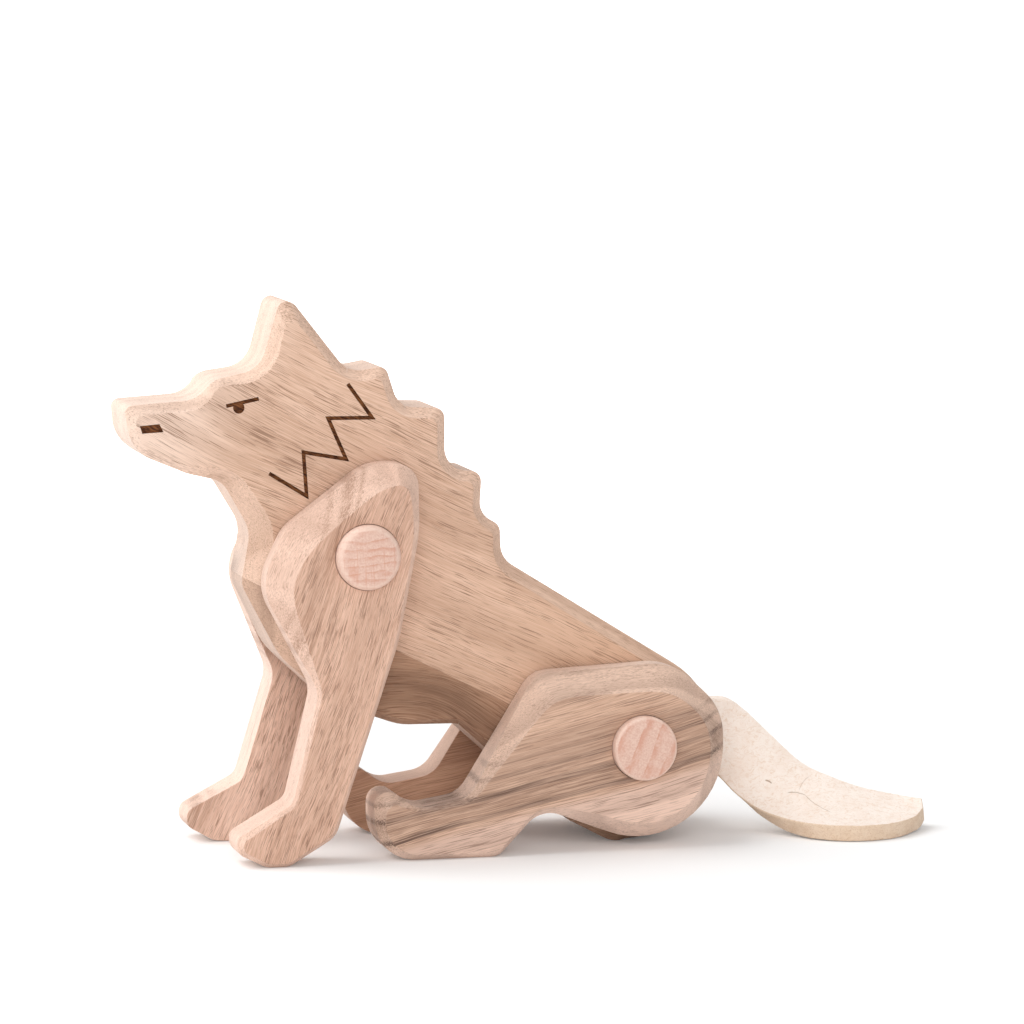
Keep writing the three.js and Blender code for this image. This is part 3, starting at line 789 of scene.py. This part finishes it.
def felt_ring(share, spans, step):
    """The points round the strip at one cut, with the fuzz and waves of its surface."""
    width = (felt_middle(share, 1) - felt_middle(share, 0)).length
    ring = []
    for place, height in felt_section(width, spans):
        part = place / width
        # Over the last tenth, the whole width comes to face as its middle does
        centred = part + (0.5 - part) * max(0, 10 * share - 9)
        along = felt_middle(min(share + step, 1), centred) - felt_middle(max(share - step, 0), centred)
        across = felt_middle(share, min(part + 0.02, 1)) - felt_middle(share, max(part - 0.02, 0))
        across.normalize()
        normal = along.cross(across).normalized()
        middle = felt_middle(share, part)
        fuzz = noise.noise((middle + normal * height) * FUZZ_FINENESS) * FUZZ
        wave = noise.noise(middle * WAVE_FINENESS) * WAVE
        on_face = abs(height) > FELT_HALF * 0.9
        outwards = normal * math.copysign(1, height) if on_face else across * math.copysign(1, part - 0.5)
        ring.append(middle + normal * (height + wave) + outwards * fuzz)
    return ring


def felt_strip(stations, spans):
    """The strip, with the second material on its lower edge and tip: the browner tone of the cut, darker
    still as painted shade where the edge faces down.
    """
    rings = [felt_ring(k / stations, spans, 0.5 / stations) for k in range(stations + 1)]
    tip = sum(rings[-1], Vector()) / len(rings[-1])
    ahead = (tip - sum(rings[-2], Vector()) / len(rings[-2])).normalized()
    rings.append([point.lerp(tip, TIP_INSET) + ahead * TIP_LENGTH for point in rings[-1]])
    mesh = closed_mesh("felt tail", rings)
    count = len(rings[0])
    for i, face in enumerate(mesh.polygons):
        # Only the lower edge and tip: the browner cut, deepened as painted shade on the edge that faces down
        cut = i % count >= count // 2 + spans or i >= (len(rings) - 2) * count
        face.material_index = 1 if cut else 0
    return mesh


WHITE_FELT = felt("white felt", rgb(248, 236, 226), rgb(243, 226, 213), rgb(230, 205, 184), hairs=HAIRS)
# Browner felt of the cut, darkened further as painted shade
CUT_FELT_AND_SHADE = felt("cut felt with painted shade", rgb(232, 209, 186), rgb(222, 195, 169), rgb(200, 166, 136), length=0.5)
strip = felt_strip(stations=170, spans=34)
tail = show("felt_tail_strip", strip, [WHITE_FELT, CUT_FELT_AND_SHADE], smooth=60)
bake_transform(tail)
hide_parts("felt_tail_root", "felt_tail")


# Studio: white floor and background, and large soft lights

FLOOR_REACH = 60.0
GLOW_FROM, GLOW_FULL = 0.1, 0.7  # metres from the wolf's middle over which the floor turns plain white
LEAST_GLOW = 0.06
WORLD_LIGHT = 0.52
LIT_POINT = Vector((0, 0, 0.04))


def white_floor():
    """A white floor that looks white to the camera and keeps the shadows."""
    shader = Shader("white floor")
    path = shader.add("ShaderNodeLightPath")
    away = shader.distance(shader.place())
    glow = shader.ramp(away, GLOW_FROM, GLOW_FULL, LEAST_GLOW, 1.0)
    seen = shader.math("MULTIPLY", path.outputs["Is Camera Ray"], glow)
    paint = shader.add("ShaderNodeBsdfDiffuse", {"Color": (0.9, 0.9, 0.9, 1)})
    lit = shader.add("ShaderNodeEmission", {"Color": WHITE, "Strength": seen})
    return shader.finished(shader.add("ShaderNodeAddShader", {0: paint.outputs[0], 1: lit.outputs[0]}))


floor_mesh = bpy.data.meshes.new("floor")
corners = [(x * FLOOR_REACH, y * FLOOR_REACH, 0) for x, y in ((-1, -1), (1, -1), (1, 1), (-1, 1))]
floor_mesh.from_pydata(corners, [], [(0, 1, 2, 3)])
floor_mesh.materials.append(white_floor())
floor = bpy.data.objects.new("floor", floor_mesh)
SCENE.collection.objects.link(floor)


def background(tree, strength):
    node = tree.nodes.new("ShaderNodeBackground")
    node.inputs["Color"].default_value = WHITE
    node.inputs["Strength"].default_value = strength
    return node.outputs[0]


world = bpy.data.worlds.new("white studio")
SCENE.world = world
world.use_nodes = True
tree = world.node_tree
tree.nodes.clear()
path = tree.nodes.new("ShaderNodeLightPath")
pick = tree.nodes.new("ShaderNodeMixShader")
tree.links.new(path.outputs["Is Camera Ray"], pick.inputs[0])
tree.links.new(background(tree, WORLD_LIGHT), pick.inputs[1])
tree.links.new(background(tree, 1.0), pick.inputs[2])
tree.links.new(pick.outputs[0], tree.nodes.new("ShaderNodeOutputWorld").inputs[0])


def soft_light(name, place, size, power):
    light = bpy.data.lights.new(name, "AREA")
    light.shape = "SQUARE"
    light.size = size
    light.energy = power
    lamp = bpy.data.objects.new(name, light)
    lamp.location = place
    lamp.rotation_euler = (LIT_POINT - Vector(place)).to_track_quat("-Z", "Y").to_euler()
    SCENE.collection.objects.link(lamp)


soft_light("key", place=(-0.8, 0.22, 1.3), size=1.4, power=18)
soft_light("side", place=(-1.5, 0.6, 0.2), size=0.8, power=7.8)
soft_light("fill", place=(-0.3, -1.5, 0.6), size=0.9, power=9.4)

camera_data = bpy.data.cameras.new("camera")
camera_data.sensor_width = SENSOR_MM
camera_data.lens = LENS_MM
camera = bpy.data.objects.new("camera", camera_data)
level = math.cos(CAMERA_FALL)
ahead = Vector((math.sin(CAMERA_TURN) * level, math.cos(CAMERA_TURN) * level, -math.sin(CAMERA_FALL)))
camera.location = CAMERA_PLACE + Vector((LEFT_SHOULDER.x, 0, 0))
camera.rotation_euler = ahead.to_track_quat("-Z", "Y").to_euler()
SCENE.collection.objects.link(camera)
SCENE.camera = camera
SCENE.view_settings.view_transform = "Standard"
